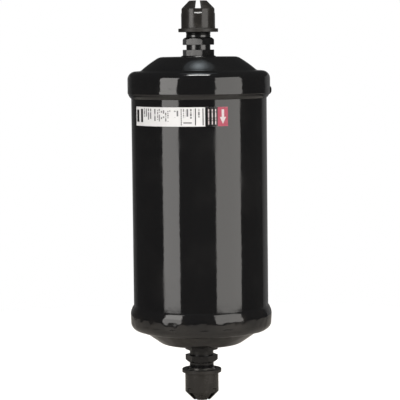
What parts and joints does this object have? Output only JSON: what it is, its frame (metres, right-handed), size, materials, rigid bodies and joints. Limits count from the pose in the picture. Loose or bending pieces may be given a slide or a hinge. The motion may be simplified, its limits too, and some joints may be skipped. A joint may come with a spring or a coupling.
{
  "type": "filter drier",
  "caption": "Black steel filter drier for refrigerant lines: welded cylinder with pressed end covers, hex flare fittings, plastic screw caps, and a spring-held core.",
  "frame": {"origin": "on the long axis, at the middle of the shell tube, which is the middle of the whole", "axes": "+Z along the axis towards the inlet; the label faces -Y; +X to the right of the label"},
  "size_m": [0.0808, 0.08, 0.2253],
  "materials": {
    "black_paint": "gloss",
    "fitting_steel": "gloss",
    "cap_plastic": "satin",
    "seal_rubber": "matte",
    "plate_steel": "satin",
    "spring_steel": "satin",
    "mat_fleece": "matte",
    "desiccant": "matte",
    "label_white": "gloss",
    "print_black": "gloss",
    "print_grey": "gloss",
    "print_red": "gloss",
    "print_white": "gloss"
  },
  "bodies": {
    "vessel": {"shell_tube": "black_paint", "inlet_cover": "black_paint", "outlet_cover": "black_paint", "inlet_seam_weld": "black_paint", "outlet_seam_weld": "black_paint", "inlet_fitting": "fitting_steel", "outlet_fitting": "fitting_steel", "inlet_fitting_weld": "black_paint", "outlet_fitting_weld": "black_paint", "support_plate": "plate_steel", "filter_mat": "mat_fleece", "desiccant_core": "desiccant", "spring_plate": "plate_steel", "core_spring": "spring_steel", "label_film": "label_white", "label_black_print": "print_black", "label_grey_print": "print_grey", "label_red_print": "print_red", "label_white_print": "print_white"},
    "inlet_seal_body": {"inlet_cap_seal": "seal_rubber"},
    "inlet_cap_body": {"inlet_cap": "cap_plastic"},
    "outlet_seal_body": {"outlet_cap_seal": "seal_rubber"},
    "outlet_cap_body": {"outlet_cap": "cap_plastic"}
  },
  "joints": [
    {"name": "inlet_cap_lift", "type": "slide", "parent": "vessel", "child": "inlet_seal_body", "axis": [0, 0, 1], "range_m": [0, 0.0113]},
    {"name": "inlet_cap_turn", "type": "hinge", "parent": "inlet_seal_body", "child": "inlet_cap_body", "pos_m": [0, 0, 0.1], "axis": [0, 0, 1], "range_deg": [0, 2880]},
    {"name": "outlet_cap_lift", "type": "slide", "parent": "vessel", "child": "outlet_seal_body", "axis": [0, 0, -1], "range_m": [0, 0.0113]},
    {"name": "outlet_cap_turn", "type": "hinge", "parent": "outlet_seal_body", "child": "outlet_cap_body", "pos_m": [0, 0, -0.1], "axis": [0, 0, -1], "range_deg": [0, 2880]}
  ],
  "couplings": [
    {"joint": "inlet_cap_lift", "follows": "inlet_cap_turn", "m_per_rad": 0.00022458},
    {"joint": "outlet_cap_lift", "follows": "outlet_cap_turn", "m_per_rad": 0.00022458}
  ]
}
